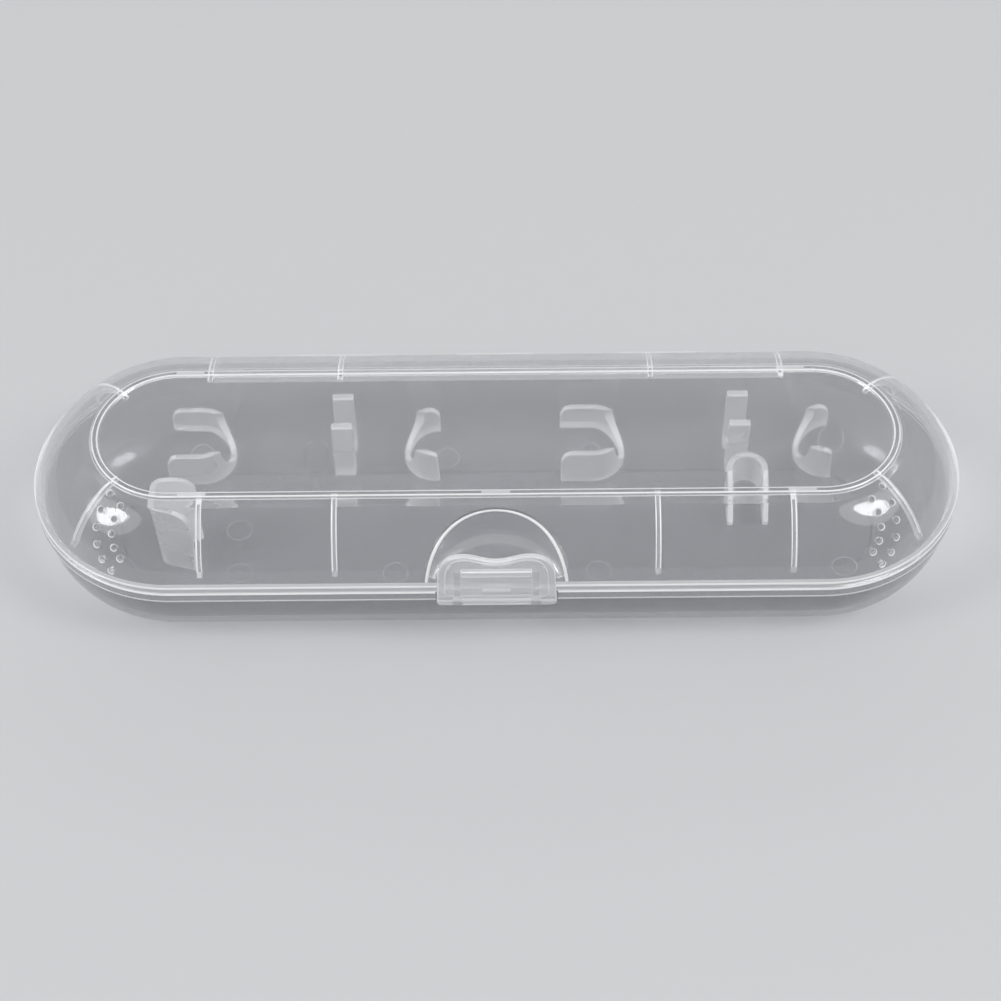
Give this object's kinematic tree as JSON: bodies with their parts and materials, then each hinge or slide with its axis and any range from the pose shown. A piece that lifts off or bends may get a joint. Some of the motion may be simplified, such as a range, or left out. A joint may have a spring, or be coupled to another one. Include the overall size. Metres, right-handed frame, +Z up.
{
  "type": "electric toothbrush case",
  "caption": "Long clear travel case with round ends, a back-hinged domed lid, a front clasp, and cradles for a handle and brush heads.",
  "frame": {"origin": "under the middle of the closed case, on the surface that its foot ring stands on", "axes": "+X along the case to the right as seen from the clasp, +Y from the clasp to the hinge, +Z up"},
  "size_m": [0.215, 0.074, 0.038],
  "materials": {
    "clear_base": "clear, polished polypropylene",
    "clear_lid": "clear, polished polypropylene",
    "clear_clasp": "clear, slightly milky polypropylene",
    "pin": "natural plastic",
    "frosted_holders": "frosted polypropylene"
  },
  "bodies": {
    "base": {"base_shell": "clear_base", "hinge_pin": "pin", "handle_end_cradle": "frosted_holders", "handle_neck_cradle": "frosted_holders", "long_brush_cradle_left": "frosted_holders", "long_brush_cradle_right": "frosted_holders", "short_brush_cradle_left": "frosted_holders", "short_brush_cradle_right": "frosted_holders", "neck_post_left_front": "frosted_holders", "neck_post_left_back": "frosted_holders", "neck_post_right_front": "frosted_holders", "neck_post_right_back": "frosted_holders"},
    "lid": {"lid_shell": "clear_lid"},
    "latch": {"latch_clasp": "clear_clasp"}
  },
  "joints": [
    {"name": "lid_hinge", "type": "hinge", "parent": "base", "child": "lid", "pos_m": [0, 0.0354, 0.022], "axis": [-1, 0, 0], "range_deg": [0, 170]},
    {"name": "latch_pivot", "type": "hinge", "parent": "base", "child": "latch", "pos_m": [0, -0.0347, 0.02055], "axis": [1, 0, 0], "range_deg": [0, 90]}
  ]
}
